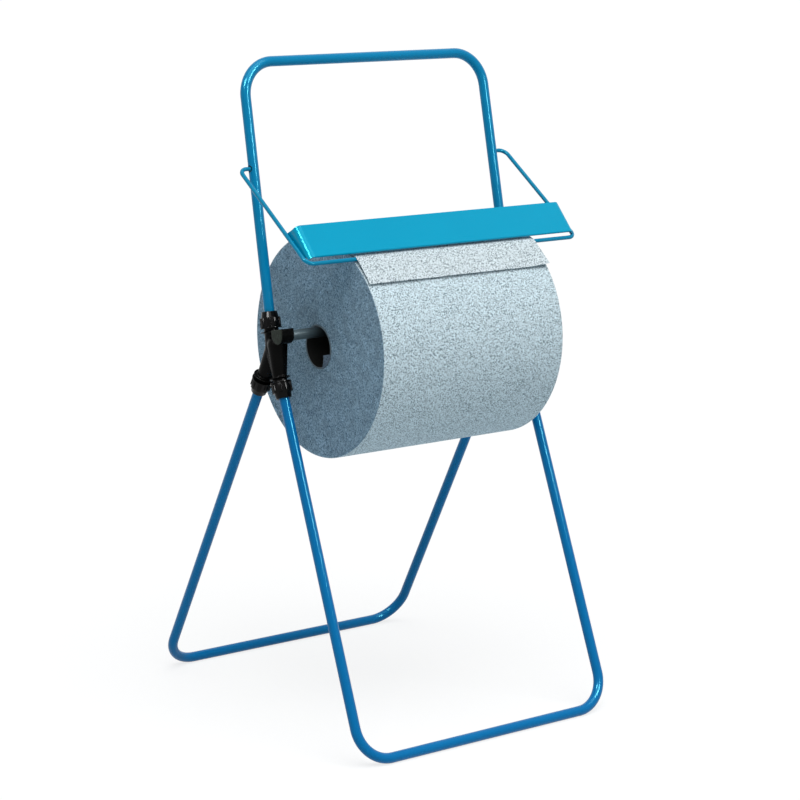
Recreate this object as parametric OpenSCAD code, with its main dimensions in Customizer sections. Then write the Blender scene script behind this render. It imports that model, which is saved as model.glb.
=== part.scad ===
// Floor stand for a jumbo paper wiper roll: three bent tube frames clamped into two
// moulded Y connectors, a steel axle lying in their cradles, the roll hung on the axle
// and a hinged wire cutter that rests on the roll.
// X runs along the axle, the paper leaves toward -Y, Z is up, the floor is Z = 0.

/* [Stand] */
// overall height of the stand
stand_h = 960; // [920:1:1040]
// distance between the two foot bars, centre to centre
foot_spread = 528; // [480:1:600]
// distance between the two connectors, centre to centre
connector_span = 436; // [424:1:452]
// width of the carrying handle at its top, centre to centre
handle_w = 427; // [414:1:434]
// width of both leg frames at the floor, centre to centre
foot_w = 445; // [430:1:470]
// backward lean of the handle in degrees
handle_lean = 13; // [9:0.5:16]
// height of the point where the three tube axes of a side meet
junction_z = 557; // [540:1:580]
// distance of that point in front of the middle of the feet
junction_fwd = 26; // [10:1:40]

/* [Tube] */
// outside diameter of the frame tube
tube_d = 15; // [14:0.1:16]
// wall of the frame tube
tube_wall = 1.2; // [0.8:0.1:2]
// centreline radius of every tube bend
bend_r = 50; // [35:1:70]

/* [Connector] */
// outside diameter of a connector arm where it leaves the junction
arm_root_d = 23; // [22:0.5:26]
// outside diameter of a connector arm at its flange
arm_end_d = 20; // [19.4:0.1:22]
// distance from the junction to the flange of the handle arm
handle_arm = 22; // [20:0.5:26]
// distance from the junction to the flange of the front leg arm
front_arm = 43; // [38:0.5:50]
// distance from the junction to the flange of the rear leg arm
rear_arm = 48.5; // [42:0.5:56]
// diameter of the arm flange
flange_d = 30; // [26:0.5:32]
// thickness of the arm flange
flange_t = 2; // [1.5:0.1:3]
// length of plain neck left between flange and clamp nut
neck_gap = 4.5; // [2:0.5:8]
// outside diameter of the spigot that the clamp nut screws onto
spigot_d = 20.4; // [19.6:0.1:21]
// length of spigot inside the clamp nut
spigot_in = 12; // [9:0.5:12.5]
// diameter of the rounded body in which the arms run together
body_d = 29; // [27:0.5:32]
// distance of the middle of that body in front of the junction
body_fwd = 10.5; // [8:0.1:13]
// height of the middle of that body above the junction
body_up = 6; // [3:0.5:8]
// thickness of the bridge between the handle arm and the cradle
bridge_t = 14; // [9:0.5:15]
// height of that bridge
bridge_h = 12; // [9:0.5:14]
// depth of that bridge below the centre of the cradle
bridge_low = 10; // [8:0.5:12]
// distance from the junction to the end of the handle tube in its socket
handle_seat = 8; // [5:0.5:12]
// distance of the front leg tube's end past the point where both leg tubes would touch
front_seat = 7; // [5:0.5:12]
// distance of the rear leg tube's end past the same point
rear_seat = 9; // [5:0.5:12]

/* [Cradle] */
// distance of the cradle in front of the handle axis
cradle_fwd = 32.7; // [31:0.1:38]
// distance of the cradle up the handle axis from the junction
cradle_up = 17.4; // [14:0.1:22]
// inside radius of the cradle trough
cradle_r = 10; // [8.5:0.1:11]
// wall of the cradle trough
cradle_wall = 3.25; // [2:0.05:5]
// height of the trough sides above the centre of its round bottom
cradle_side = 8; // [5:0.5:12]
// reach of the cradle outside the tube centreline
cradle_out = 13.5; // [11:0.5:16]
// reach of the cradle inside the tube centreline
cradle_in = 8; // [4:0.5:14]
// thickness of the closed outer end of the cradle
cradle_end = 3; // [2:0.1:4]

/* [Clamp nut] */
// overall length of a clamp nut
nut_l = 24; // [22:0.5:28]
// diameter of the rim at the connector end
nut_rim_d = 31.2; // [30.4:0.1:34]
// diameter over the grip pads
nut_grip_d = 30; // [28:0.1:30.4]
// diameter between the grip pads
nut_root_d = 27; // [25:0.1:27.6]
// diameter of the nose where the tube leaves
nut_nose_d = 22; // [20:0.1:24]
// length of the rim
nut_rim_l = 2; // [1:0.1:3]
// length of the grip zone
nut_grip_l = 13.5; // [11:0.5:14]
// number of grip pads round the nut
nut_pads = 8; // [6:1:12]
// width of one grip pad
nut_pad_w = 6.2; // [4:0.1:7]
// length of the taper that squeezes the grip ring
nut_taper_l = 6.5; // [5:0.5:7]
// width of the split in a grip ring
ring_split = 1.4; // [0.8:0.1:3]

/* [Axle and roll] */
// diameter of the axle tube
axle_d = 15; // [13:0.1:16]
// wall of the axle tube
axle_wall = 1.5; // [1:0.1:3]
// width of the paper roll
roll_w = 320; // [260:1:360]
// diameter of the paper roll
roll_d = 320; // [200:1:330]
// free play of the axle at each end
axle_play = 1; // [0.5:0.1:3]
// bore of the paperboard core
core_bore = 59; // [50:0.5:76]
// wall of the paperboard core
core_wall = 2.5; // [1.5:0.1:5]
// rounding of the roll's outer edges
roll_edge = 1.2; // [0.5:0.1:3]

/* [Cutter] */
// wire diameter of the cutter bail
wire_d = 6; // [5:0.1:7]
// distance up the handle from the junction to the bail pivot
pivot_up = 255.5; // [235:0.5:275]
// distance from the pivot to the front wire
bail_reach = 204; // [190:1:215]
// distance of a bail arm outside the handle tube, centre to centre at the pivot
bail_side = 24.3; // [20:0.1:32]
// centreline radius of the wire bends
wire_bend_r = 12; // [9:0.5:14]
// distance that a wire end reaches past the tube centreline
pin_in = 3; // [0:0.5:4]
// outside diameter of the pivot bush
bush_d = 10; // [9:0.1:11]
// length of the pivot bush
bush_l = 6; // [4:0.5:8]
// sheet thickness of the cutter blade
blade_t = 1.5; // [1:0.1:2]
// length of the blade from top edge to front edge
blade_l = 53.5; // [45:0.5:60]
// slope of the blade against the bail arms in degrees
blade_slope = 13; // [9:0.5:17]
// height of the blade's front edge above the bail
blade_rise = 9.8; // [9:0.1:13]
// set-back of the blade's front edge behind the front wire
blade_back = 3.2; // [2:0.1:6]
// outside radius of the folded blade ends
blade_fold_r = 9; // [5:0.5:9.5]
// depth of the lip folded down along the front edge
blade_lip = 3; // [2.5:0.1:3.5]
// reach of the blade's end flanges behind its top edge, at the bail
flange_back = 4; // [2:0.5:8]
// reach of the blade's end flanges below the middle of the bail wire
flange_below = 0.8; // [0.4:0.1:1.5]

/* [Paper sheet] */
// thickness of the loose sheet
sheet_t = 0.8; // [0.5:0.1:1.2]
// width of the loose sheet
sheet_w = 318; // [240:1:340]
// length of sheet that hangs free past the cutter wire
sheet_free = 52; // [20:1:90]
// turn of the sheet over the wire in degrees
sheet_turn = 19; // [10:1:30]
// droop radius of the free sheet
sheet_droop_r = 320; // [200:10:600]

/* [Fits] */
// gap kept between parts that move on each other
run_gap = 0.3; // [0.2:0.05:0.4]
// gap round parts that are assembled and stay put
fit_gap = 0.15; // [0.1:0.05:0.2]
// gap between the frame tube and the nose of a clamp nut
tube_gap = 0.4; // [0.3:0.05:0.6]
// free length between a spigot and its grip ring
ring_play = 1; // [0.5:0.1:2]
// gap between pieces that are pressed, welded or wound together
weld_gap = 0.1; // [0.05:0.01:0.2]

/* [Hidden] */
$fn = 96;
// bends are this much fuller than the straights, which reach this far into them
bend_step = 0.06;
bend_lap = 0.4;
span_half = connector_span / 2;
tube_r = tube_d / 2;
jy = -junction_fwd;
jz = junction_z;

// lengths and leans of the three tube frames, measured from the junction
handle_len = (stand_h - tube_r - jz) / cos(handle_lean);
front_y = foot_spread / 2 - junction_fwd;
rear_y = foot_spread / 2 + junction_fwd;
leg_drop = jz - tube_r;
front_lean = atan2(front_y, leg_drop);
rear_lean = atan2(rear_y, leg_drop);
front_len = norm([front_y, leg_drop]);
rear_len = norm([rear_y, leg_drop]);

// sideways splay of the tubes of each frame
handle_splay = atan((connector_span - handle_w) / 2 / handle_len);
front_splay = atan((foot_w - connector_span) / 2 / front_len);
rear_splay = atan((foot_w - connector_span) / 2 / rear_len);

// sockets in the order handle, front leg, rear leg
socket_lean = [-handle_lean, -front_lean, rear_lean];
socket_yaw = [-handle_splay, 180 - front_splay, 180 - rear_splay];
socket_arm = [handle_arm, front_arm, rear_arm];
// the leg tubes stop before they would meet each other below the junction
leg_clear = (tube_r + fit_gap) / tan((front_lean + rear_lean) / 2);
socket_seat = [handle_seat, leg_clear + front_seat, leg_clear + rear_seat];

// where the clamp nut starts on an arm
nut_from = flange_t + neck_gap;
nut_bore_r = spigot_d / 2 + fit_gap;
nut_hole_r = tube_r + tube_gap;
nut_taper_z = spigot_in + ring_play;

// cradle, axle and roll, each hung from the one before
cradle_y = jy + cradle_up * sin(handle_lean) - cradle_fwd * cos(handle_lean);
cradle_z = jz + cradle_up * cos(handle_lean) + cradle_fwd * sin(handle_lean);
axle_r = axle_d / 2;
axle_y = cradle_y;
axle_z = cradle_z - cradle_r + axle_r + run_gap;
axle_half = span_half + cradle_out - cradle_end - axle_play;
core_r = core_bore / 2;
roll_r = roll_d / 2;
roll_z = axle_z + axle_r + run_gap - core_r;

// cutter pivot on the handle tube axis and the rest angle with the wire on the roll
pivot_x = span_half - pivot_up * tan(handle_splay);
pivot_y = jy + pivot_up * sin(handle_lean);
pivot_z = jz + pivot_up * cos(handle_lean);
wire_r = wire_d / 2;
bail_half = pivot_x + bail_side;
rest_gap = roll_r + wire_r + run_gap;
to_roll = norm([pivot_y - axle_y, pivot_z - roll_z]);
roll_dip = atan2(pivot_z - roll_z, pivot_y - axle_y);
rest_fan = acos((bail_reach * bail_reach + to_roll * to_roll - rest_gap * rest_gap)
    / (2 * bail_reach * to_roll));
bail_dip = roll_dip - rest_fan;
wire_y = pivot_y - bail_reach * cos(bail_dip);
wire_z = pivot_z - bail_reach * sin(bail_dip);
blade_half = bail_half - wire_r - weld_gap;

// path of the loose sheet: off the roll, over the wire, then free
sheet_roll_r = roll_r + run_gap + sheet_t / 2;
sheet_wire_r = wire_r + fit_gap + sheet_t / 2;
wire_dir = atan2(wire_z - roll_z, wire_y - axle_y);
sheet_off = wire_dir - acos((sheet_roll_r - sheet_wire_r) / rest_gap);
sheet_over = sheet_off + sheet_turn;
droop_y = wire_y + (sheet_wire_r - sheet_droop_r) * cos(sheet_over);
droop_z = wire_z + (sheet_wire_r - sheet_droop_r) * sin(sheet_over);
droop_turn = sheet_free / sheet_droop_r * 180 / PI;

// a child drawn for the right side, or mirrored to the left
module on_side(side) {
    mirror([side < 0 ? 1 : 0, 0, 0])
        children();
}

// local Z runs from the junction out along tube socket i of the right side
module at_socket(i) {
    translate([span_half, jy, jz])
        rotate([socket_lean[i], 0, 0])
            rotate([0, socket_yaw[i], 0])
                children();
}

// local Z is the opening direction of the cradle, the origin the centre of its round bottom
module at_cradle() {
    translate([0, cradle_y, cradle_z])
        rotate([-handle_lean, 0, 0])
            children();
}

// local -Y runs along the bail arms at rest, the origin is the pivot axis
module at_bail() {
    translate([0, pivot_y, pivot_z])
        rotate([bail_dip, 0, 0])
            children();
}

// flat shapes drawn as (Y, Z) and extruded along X from x0 to x1
module along_x(x0, x1) {
    translate([x0, 0, 0])
        rotate([90, 0, 90])
            linear_extrude(x1 - x0)
                children();
}

// tube wall, drawn fuller by the given radial step
module tube_section(step) {
    difference() {
        circle(d = tube_d + 2 * step);
        circle(d = tube_d - 2 * tube_wall - 2 * step);
    }
}

// one bent tube in the XZ plane: two sides from half width w0 at z = 0 up to a bar of
// half width w1 at z = len, with the side tubes cut off below z = seat
module bent_tube(w0, w1, len, seat) {
    tilt = atan((w0 - w1) / len);
    sweep = 90 - tilt;
    corner = bend_r * tan(sweep / 2);
    side_l = len / cos(tilt) - corner;
    for (side = [-1, 1])
        on_side(side) {
            translate([w0, 0, 0])
                rotate([0, -tilt, 0])
                    translate([0, 0, seat])
                        linear_extrude(side_l - seat + bend_lap)
                            tube_section(0);
            translate([w1 - corner, 0, len - bend_r])
                rotate([90, 0, 0])
                    rotate([0, 0, tilt])
                        rotate_extrude(angle = sweep)
                            translate([bend_r, 0])
                                tube_section(bend_step);
        }
    translate([corner - w1 - bend_lap, 0, len])
        rotate([0, 90, 0])
            linear_extrude(2 * (w1 - corner + bend_lap))
                tube_section(0);
}

module handle_frame() {
    color("#0b76b4")
        difference() {
            translate([0, jy, jz])
                rotate([-handle_lean, 0, 0])
                    bent_tube(span_half, handle_w / 2, handle_len, socket_seat[0]);
            // holes for the pivot bushes, through the outer wall only
            for (side = [-1, 1])
                on_side(side)
                    translate([pivot_x, pivot_y, pivot_z])
                        rotate([0, 90, 0])
                            cylinder(d = bush_d + 2 * fit_gap, h = tube_d);
        }
}

module front_leg_frame() {
    color("#0b76b4")
        translate([0, jy, jz])
            rotate([-front_lean, 0, 0])
                mirror([0, 0, 1])
                    bent_tube(span_half, foot_w / 2, front_len, socket_seat[1]);
}

module rear_leg_frame() {
    color("#0b76b4")
        translate([0, jy, jz])
            rotate([rear_lean, 0, 0])
                mirror([0, 0, 1])
                    bent_tube(span_half, foot_w / 2, rear_len, socket_seat[2]);
}

// outer form of one connector arm: tapered arm, flange and spigot
module arm_solid(i) {
    at_socket(i) {
        cylinder(d1 = arm_root_d, d2 = arm_end_d, h = socket_arm[i]);
        translate([0, 0, socket_arm[i]])
            cylinder(d = flange_d, h = flange_t);
        translate([0, 0, socket_arm[i]])
            cylinder(d = spigot_d, h = nut_from + spigot_in);
    }
}

// round-bottomed U of radius r with straight sides up to the given height
module trough_outline(r, side) {
    intersection() {
        circle(r = r);
        translate([-r, -r])
            square([2 * r, r]);
    }
    translate([-r, 0])
        square([2 * r, side]);
}

// round tapered solid between two (Y, Z) points in the plane of a side
module taper(p, q, dp, dq) {
    translate([span_half, p[0], p[1]])
        rotate([atan2(p[0] - q[0], q[1] - p[1]), 0, 0])
            cylinder(d1 = dp, d2 = dq, h = norm(q - p));
}

// rounded body under the cradle that runs down to the front flange and up to the handle flange
module connector_body() {
    middle = [jy - body_fwd, jz + body_up];
    front = [jy - front_arm * sin(front_lean), jz - front_arm * cos(front_lean)];
    top = [jy + handle_arm / 2 * sin(handle_lean), jz + handle_arm / 2 * cos(handle_lean)];
    translate([span_half, middle[0], middle[1]])
        sphere(d = body_d);
    taper(middle, front, body_d - 0.2, arm_end_d + 0.6);
    taper(middle, top, body_d - 0.2, arm_end_d + 0.6);
}

module connector() {
    difference() {
        union() {
            for (i = [0 : 2])
                arm_solid(i);
            translate([span_half, jy, jz])
                sphere(d = arm_root_d + 1);
            connector_body();
            at_cradle()
                along_x(span_half - cradle_in, span_half + cradle_out)
                    trough_outline(cradle_r + cradle_wall, cradle_side);
            // bridge from the handle arm to the back of the cradle
            at_cradle()
                along_x(span_half - bridge_t / 2, span_half + bridge_t / 2)
                    translate([cradle_r + cradle_wall / 3, -bridge_low])
                        square([cradle_fwd - cradle_r - cradle_wall / 2, bridge_h]);
        }
        at_cradle()
            along_x(span_half - cradle_in - 1, span_half + cradle_out - cradle_end)
                trough_outline(cradle_r, cradle_side + 1);
        for (i = [0 : 2])
            at_socket(i)
                translate([0, 0, socket_seat[i]])
                    cylinder(r = tube_r + fit_gap, h = socket_arm[i] + nut_from + spigot_in);
    }
}

module left_connector() {
    color("#17181a")
        on_side(-1)
            connector();
}

module right_connector() {
    color("#17181a")
        on_side(1)
            connector();
}

module nut_grip_section() {
    circle(d = nut_root_d);
    intersection() {
        circle(d = nut_grip_d);
        for (k = [0 : nut_pads - 1])
            rotate(k * 360 / nut_pads)
                translate([0, -nut_pad_w / 2])
                    square([nut_grip_d, nut_pad_w]);
    }
}

// clamp nut, local Z from the connector end to the nose
module clamp_nut() {
    nose_z = nut_rim_l + nut_grip_l;
    difference() {
        union() {
            cylinder(d = nut_rim_d, h = nut_rim_l);
            translate([0, 0, nut_rim_l])
                linear_extrude(nut_grip_l)
                    nut_grip_section();
            translate([0, 0, nose_z])
                cylinder(d1 = nut_nose_d + 3, d2 = nut_nose_d, h = nut_l - nose_z);
        }
        translate([0, 0, -1])
            cylinder(r = nut_bore_r, h = nut_taper_z + 1);
        translate([0, 0, nut_taper_z])
            cylinder(r1 = nut_bore_r, r2 = nut_hole_r, h = nut_taper_l);
        translate([0, 0, nut_taper_z])
            cylinder(r = nut_hole_r, h = nut_l);
    }
}

// split ring that the nut's taper squeezes onto the tube
module grip_ring() {
    ring_l = nut_taper_l - ring_play / 2;
    ring_r = nut_bore_r - weld_gap;
    slope = (nut_bore_r - nut_hole_r) / nut_taper_l;
    difference() {
        translate([0, 0, nut_taper_z])
            cylinder(r1 = ring_r, r2 = ring_r - slope * ring_l, h = ring_l);
        translate([0, 0, nut_taper_z - 1])
            cylinder(r = tube_r + weld_gap, h = ring_l + 2);
        translate([0, -ring_split / 2, nut_taper_z - 1])
            cube([nut_rim_d, ring_split, ring_l + 2]);
    }
}

module nut_at(side, i) {
    color("#131415")
        on_side(side)
            at_socket(i)
                translate([0, 0, socket_arm[i] + nut_from])
                    clamp_nut();
}

module ring_at(side, i) {
    color("#d8d5cb")
        on_side(side)
            at_socket(i)
                translate([0, 0, socket_arm[i] + nut_from])
                    grip_ring();
}

module left_handle_nut() {
    nut_at(-1, 0);
}

module left_front_nut() {
    nut_at(-1, 1);
}

module left_rear_nut() {
    nut_at(-1, 2);
}

module right_handle_nut() {
    nut_at(1, 0);
}

module right_front_nut() {
    nut_at(1, 1);
}

module right_rear_nut() {
    nut_at(1, 2);
}

module left_handle_grip_ring() {
    ring_at(-1, 0);
}

module left_front_grip_ring() {
    ring_at(-1, 1);
}

module left_rear_grip_ring() {
    ring_at(-1, 2);
}

module right_handle_grip_ring() {
    ring_at(1, 0);
}

module right_front_grip_ring() {
    ring_at(1, 1);
}

module right_rear_grip_ring() {
    ring_at(1, 2);
}

// sleeve in the hole of the handle tube, recessed below the crown of the tube
module pivot_bush() {
    out = sqrt(tube_r * tube_r - bush_d * bush_d / 4);
    translate([pivot_x + out - bush_l, pivot_y, pivot_z])
        rotate([0, 90, 0])
            linear_extrude(bush_l)
                difference() {
                    circle(d = bush_d);
                    circle(d = wire_d + 2 * fit_gap);
                }
}

module left_pivot_bush() {
    color("#131415")
        on_side(-1)
            pivot_bush();
}

module right_pivot_bush() {
    color("#131415")
        on_side(1)
            pivot_bush();
}

module axle() {
    color("#8d979b")
        translate([0, axle_y, axle_z])
            along_x(-axle_half, axle_half)
                difference() {
                    circle(r = axle_r);
                    circle(r = axle_r - axle_wall);
                }
}

module roll_core() {
    color("#9b9a92")
        translate([0, axle_y, roll_z])
            along_x(-roll_w / 2, roll_w / 2)
                difference() {
                    circle(r = core_r + core_wall);
                    circle(r = core_r);
                }
}

module paper_roll() {
    inner = core_r + core_wall + weld_gap;
    half = roll_w / 2;
    color("#a9bcc6")
        translate([0, axle_y, roll_z])
            rotate([0, 90, 0])
                rotate_extrude()
                    polygon([[inner, -half], [roll_r - roll_edge, -half], [roll_r, roll_edge - half],
                        [roll_r, half - roll_edge], [roll_r - roll_edge, half], [inner, half]]);
}

// planar wire loop, open between the two pivot ends
module cutter_bail() {
    bar_half = bail_half - wire_bend_r;
    pin_l = bar_half - pivot_x + pin_in + bend_lap;
    arm_l = bail_reach - 2 * wire_bend_r + 2 * bend_lap;
    bend_d = wire_d + 2 * bend_step;
    color("#1488b0")
        at_bail() {
            for (side = [-1, 1])
                on_side(side) {
                    translate([pivot_x - pin_in, 0, 0])
                        rotate([0, 90, 0])
                            cylinder(d = wire_d, h = pin_l);
                    translate([bar_half, -wire_bend_r, 0])
                        rotate_extrude(angle = 90)
                            translate([wire_bend_r, 0])
                                circle(d = bend_d);
                    translate([bail_half, bend_lap - wire_bend_r, 0])
                        rotate([90, 0, 0])
                            cylinder(d = wire_d, h = arm_l);
                    translate([bar_half, wire_bend_r - bail_reach, 0])
                        rotate([0, 0, -90])
                            rotate_extrude(angle = 90)
                                translate([wire_bend_r, 0])
                                    circle(d = bend_d);
                }
            translate([-bar_half - bend_lap, -bail_reach, 0])
                rotate([0, 90, 0])
                    cylinder(d = wire_d, h = 2 * (bar_half + bend_lap));
        }
}

// blade plate with its front lip, seen from the end: Y back from the front edge, Z up
module blade_section() {
    translate([blade_t, -blade_t])
        square([blade_l - blade_t, blade_t]);
    intersection() {
        translate([blade_t, -blade_t])
            circle(r = blade_t);
        translate([0, -blade_t])
            square([blade_t, blade_t]);
    }
    translate([0, -blade_lip])
        square([blade_t, blade_lip - blade_t]);
}

// sheet folded down at both ends: local Y back from the front edge, Z up from the top face
module folded_blade() {
    flat_half = blade_half - blade_fold_r;
    front_drop = blade_rise / cos(blade_slope);
    rear_drop = (blade_rise + blade_l * sin(blade_slope)) / cos(blade_slope);
    along_x(-flat_half, flat_half)
        blade_section();
    for (side = [-1, 1])
        on_side(side) {
            translate([flat_half, 0, -blade_fold_r])
                rotate([90, 0, 0])
                    mirror([0, 0, 1])
                        rotate_extrude(angle = 90)
                            translate([blade_fold_r - blade_t, 0])
                                square([blade_t, blade_l]);
            along_x(blade_half - blade_t, blade_half)
                polygon([[0, -blade_fold_r], [blade_l, -blade_fold_r],
                    [blade_l + flange_back, -rear_drop - flange_below],
                    [0, -front_drop - flange_below]]);
        }
}

// blade whose end flanges are welded to the insides of the bail arms
module cutter_blade() {
    color("#08a5cf")
        at_bail()
            difference() {
                translate([0, blade_back - bail_reach, blade_rise])
                    rotate([blade_slope, 0, 0])
                        folded_blade();
                // front corners taken off where the bail bends
                for (side = [-1, 1])
                    on_side(side)
                        translate([blade_half - blade_fold_r, -bail_reach - wire_d, -wire_d])
                            cube([wire_bend_r, wire_d + wire_bend_r + fit_gap,
                                wire_d + wire_r + 2 * fit_gap]);
            }
}

// centreline points of the loose sheet moved off by d along its outward normal
function sheet_line(d) = concat(
    [[axle_y + (sheet_roll_r + d) * cos(sheet_off), roll_z + (sheet_roll_r + d) * sin(sheet_off)]],
    [for (k = [0 : 6]) let (a = sheet_off + sheet_turn * k / 6)
        [wire_y + (sheet_wire_r + d) * cos(a), wire_z + (sheet_wire_r + d) * sin(a)]],
    [for (k = [1 : 8]) let (a = sheet_over + droop_turn * k / 8)
        [droop_y + (sheet_droop_r + d) * cos(a), droop_z + (sheet_droop_r + d) * sin(a)]]);

function backward(list) = [for (k = [len(list) - 1 : -1 : 0]) list[k]];

module paper_sheet() {
    color("#d3dde2")
        along_x(-sheet_w / 2, sheet_w / 2)
            polygon(concat(sheet_line(sheet_t / 2), backward(sheet_line(-sheet_t / 2))));
}

handle_frame();
front_leg_frame();
rear_leg_frame();
left_connector();
right_connector();
left_handle_nut();
left_front_nut();
left_rear_nut();
right_handle_nut();
right_front_nut();
right_rear_nut();
left_handle_grip_ring();
left_front_grip_ring();
left_rear_grip_ring();
right_handle_grip_ring();
right_front_grip_ring();
right_rear_grip_ring();
left_pivot_bush();
right_pivot_bush();
axle();
roll_core();
paper_roll();
cutter_bail();
cutter_blade();
paper_sheet();
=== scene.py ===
# %% [markdown]
# # A floor stand for a jumbo paper roll
# Three frames of bent blue tube meet in two black connectors. A steel axle lies in their
# cradles, the roll hangs on it, and a hinged wire cutter rests on the paper. The rigid
# pieces come from the CAD frame; this lesson adds the paper and the moulded shapes that a
# CAD solid can't show well, and gives every piece its finish.

# %% Load the CAD frame
import math
from types import SimpleNamespace

import bpy
from mathutils import Matrix, Vector, noise


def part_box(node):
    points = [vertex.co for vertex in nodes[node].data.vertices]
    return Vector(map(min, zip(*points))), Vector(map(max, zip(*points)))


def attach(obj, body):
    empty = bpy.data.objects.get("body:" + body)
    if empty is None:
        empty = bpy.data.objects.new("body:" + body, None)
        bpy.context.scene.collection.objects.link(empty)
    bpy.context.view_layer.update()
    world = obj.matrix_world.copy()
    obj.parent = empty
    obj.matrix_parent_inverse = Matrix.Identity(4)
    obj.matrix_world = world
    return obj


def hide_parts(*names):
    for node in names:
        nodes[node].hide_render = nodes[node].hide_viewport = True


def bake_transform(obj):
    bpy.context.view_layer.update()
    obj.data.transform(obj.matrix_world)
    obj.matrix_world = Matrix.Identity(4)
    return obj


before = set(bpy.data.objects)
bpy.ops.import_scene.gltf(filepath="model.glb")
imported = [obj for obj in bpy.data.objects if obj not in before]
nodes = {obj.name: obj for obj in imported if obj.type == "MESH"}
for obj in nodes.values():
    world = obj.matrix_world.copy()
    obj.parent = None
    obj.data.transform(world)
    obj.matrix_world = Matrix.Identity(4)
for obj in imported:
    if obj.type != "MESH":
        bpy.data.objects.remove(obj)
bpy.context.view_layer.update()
bpy.ops.object.select_all(action="DESELECT")

# %% [markdown]
# ## Camera
# The photograph was taken from the front left with a long lens, a little above the cutter.
# The place, turn and focal length were fitted to the tube frames, so the same points of the
# stand land on the same pixels. A long lens keeps both legs almost parallel.

# %% Camera at the photograph's angle
swing, dip, bank = math.radians(-36.6), math.radians(12.7), math.radians(1.0)
eye = (-2.1183, -2.8882, 1.2580)
focal_mm, sensor_mm, sight_m = 111.06, 36, 300

ahead = Vector((-math.sin(swing) * math.cos(dip),
                math.cos(swing) * math.cos(dip),
                -math.sin(dip)))
level = Vector((math.cos(swing), math.sin(swing), 0))
above = level.cross(ahead)
side = level * math.cos(bank) + above * math.sin(bank)
head = above * math.cos(bank) - level * math.sin(bank)
turned = Matrix((side, head, -ahead)).transposed().to_4x4()

bpy.ops.object.camera_add()
camera = bpy.context.object
camera.name = "photo_camera"
camera.matrix_world = Matrix.Translation(eye) @ turned
camera.data.lens = focal_mm
camera.data.sensor_width = sensor_mm
camera.data.sensor_fit = "HORIZONTAL"
camera.data.clip_end = sight_m
scene = bpy.context.scene
scene.camera = camera
print("camera at", [round(v, 3) for v in camera.location])

# %% [markdown]
# ## Shader nodes
# By hand, nodes are added, set and wired in the shader editor. These helpers make the same
# moves, so that the cells below read like a list of nodes.

# %% Helpers for shader nodes
def add_node(tree, kind, **settings):
    """Adds a shader node and sets its properties, or its inputs where the name is a socket's."""
    node = tree.nodes.new(kind)
    for name, value in settings.items():
        if hasattr(node, name):
            setattr(node, name, value)
        else:
            node.inputs[name.replace("_", " ")].default_value = value
    return node


def feed(tree, socket, item):
    """Wires a socket to another node's output, or sets it to a plain number or colour."""
    if isinstance(item, bpy.types.NodeSocket):
        tree.links.new(item, socket)
    else:
        socket.default_value = item


def maths(tree, operation, a, b=0):
    """One arithmetic step on sockets or numbers."""
    node = add_node(tree, "ShaderNodeMath", operation=operation)
    feed(tree, node.inputs[0], a)
    feed(tree, node.inputs[1], b)
    return node.outputs[0]


print("node helpers ready")

# %% [markdown]
# ## Floor and surround
# A studio table for product pictures is white all round. The floor is a very large plane,
# because the camera looks down and should see nothing else. It could be plain white paint,
# but lit paint comes out grey beside a white background. So the floor that the eye sees is
# part paint, which takes a soft shadow, and part glow, which keeps it white. The floor that
# throws light back on the stand is a paler paint, without the glow. The surround is split
# the same way.

# %% Helpers for what is seen and what lights
def seen_directly(tree):
    """1 for rays from the camera, from a mirror reflection or through glass, otherwise 0."""
    path = add_node(tree, "ShaderNodeLightPath")
    total = path.outputs["Is Camera Ray"]
    for name in ("Is Glossy Ray", "Is Transmission Ray"):
        total = maths(tree, "MAXIMUM", total, path.outputs[name])
    return total


def light_and_show(tree, lighting, showing, output):
    """Ends a tree with one shader that lights the stand and another one that the eye sees."""
    chooser = add_node(tree, "ShaderNodeMixShader")
    feed(tree, chooser.inputs[0], seen_directly(tree))
    feed(tree, chooser.inputs[1], lighting.outputs[0])
    feed(tree, chooser.inputs[2], showing.outputs[0])
    feed(tree, add_node(tree, output).inputs[0], chooser.outputs[0])


scene.view_settings.view_transform = "Standard"
print("view transform:", scene.view_settings.view_transform)

# %% White floor
floor_size, floor_drop = 160, 0.0002
bpy.ops.mesh.primitive_plane_add(size=floor_size, location=(0, 0, -floor_drop))
floor = bpy.context.object
floor.name = "studio_floor"
floor_finish = bpy.data.materials.new("white_floor")
floor_finish.use_nodes = True
tree = floor_finish.node_tree
tree.nodes.clear()
pale_paint = add_node(tree, "ShaderNodeBsdfDiffuse", Color=(0.55, 0.60, 0.63, 1))
shadow_paint = add_node(tree, "ShaderNodeBsdfDiffuse", Color=(0.22, 0.22, 0.22, 1))
glow = add_node(tree, "ShaderNodeEmission", Strength=0.78)
both = add_node(tree, "ShaderNodeAddShader")
feed(tree, both.inputs[0], shadow_paint.outputs[0])
feed(tree, both.inputs[1], glow.outputs[0])
light_and_show(tree, pale_paint, both, "ShaderNodeOutputMaterial")
floor.data.materials.append(floor_finish)
print("floor:", floor_size, "m across")

# %% White surround
world = bpy.data.worlds.new("white_surround")
scene.world = world
world.use_nodes = True
tree = world.node_tree
tree.nodes.clear()
ambient = add_node(tree, "ShaderNodeBackground", Color=(0.84, 0.95, 1, 1), Strength=0.26)
backdrop = add_node(tree, "ShaderNodeBackground", Color=(1, 1, 1, 1), Strength=1.0)
light_and_show(tree, ambient, backdrop, "ShaderNodeOutputWorld")
print("surround:", world.name)

# %% [markdown]
# ## Lamps
# A broad sun above and in front is the key light, and its width softens the shadows. Two
# cards do what white boards beside a studio table do: they light nothing and only show as a
# shine. The tall one draws the bright line along the tubes, the square one picks out folds
# and bends.

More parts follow.
